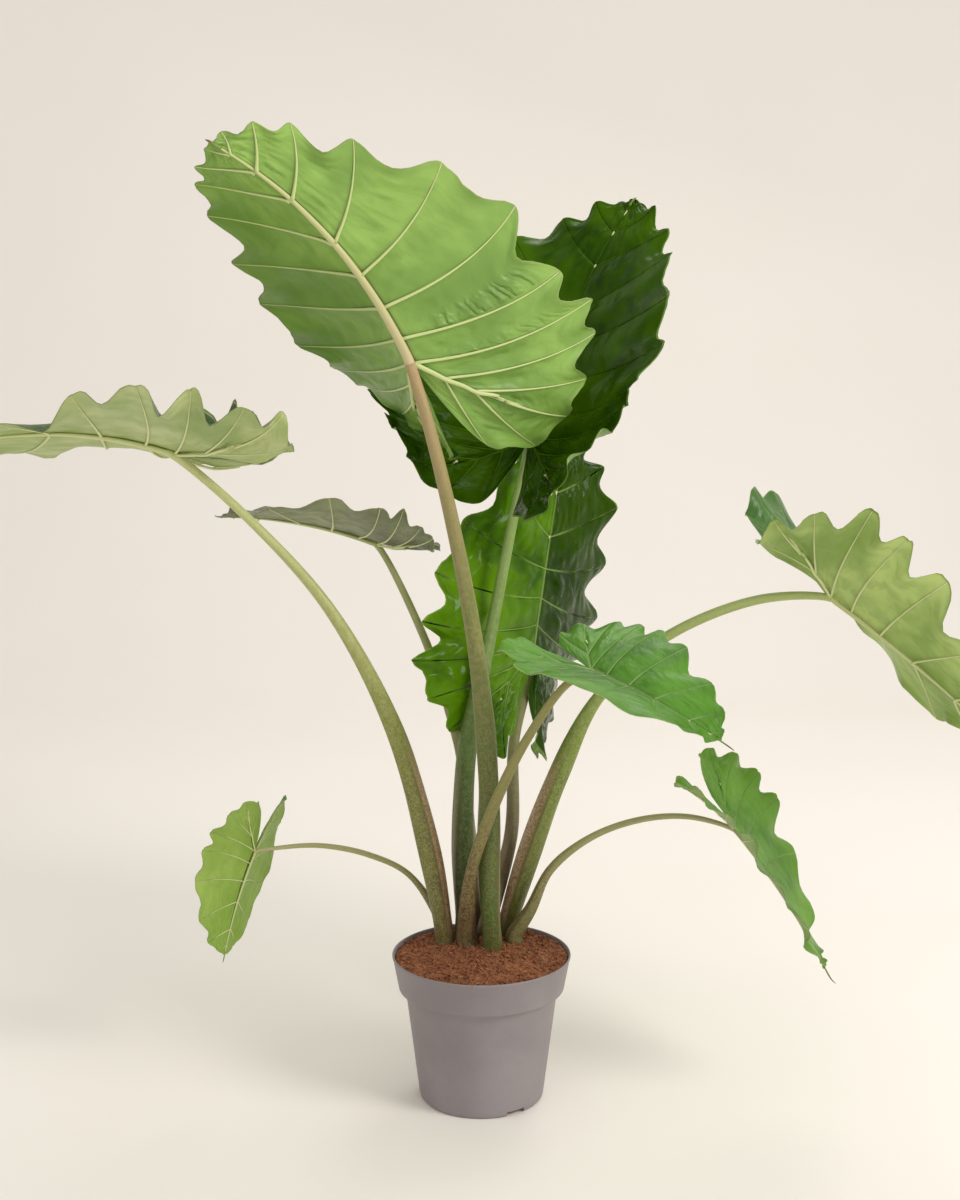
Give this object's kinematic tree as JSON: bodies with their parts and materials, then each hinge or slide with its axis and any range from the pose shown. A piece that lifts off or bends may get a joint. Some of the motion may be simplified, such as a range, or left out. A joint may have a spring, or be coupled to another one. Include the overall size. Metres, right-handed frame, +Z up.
{
  "type": "potted upright elephant ear",
  "caption": "Tall aroid house plant with broad ribbed arrowhead leaves on long stalks that rise from one crown in a round tapered nursery pot.",
  "frame": {"origin": "centre of the flat underside of the pot", "axes": "+Z up through the pot's axis, -Y towards the viewer of the picture, +X to the viewer's right"},
  "size_m": [1.364, 0.806, 1.2427],
  "materials": {
    "pot": "satin moulded taupe grey",
    "coir": "loose moist coir and bark crumbs",
    "crown": "rough rootstock",
    "stalk": "smooth fleshy leaf stalk",
    "blade": "waxy glossy leaf"
  },
  "bodies": {
    "root": {"pot": "pot", "soil": "coir", "crown": "crown", "stalk_front_tall": "stalk", "blade_front_tall": "blade", "stalk_left_high": "stalk", "blade_left_high": "blade", "stalk_left_back": "stalk", "blade_left_back": "blade", "stalk_back_tall": "stalk", "blade_back_tall": "blade", "stalk_centre": "stalk", "blade_centre": "blade", "stalk_front_low": "stalk", "blade_front_low": "blade", "stalk_right_high": "stalk", "blade_right_high": "blade", "stalk_left_low": "stalk", "blade_left_low": "blade", "stalk_right_low": "stalk", "blade_right_low": "blade"}
  },
  "joints": []
}
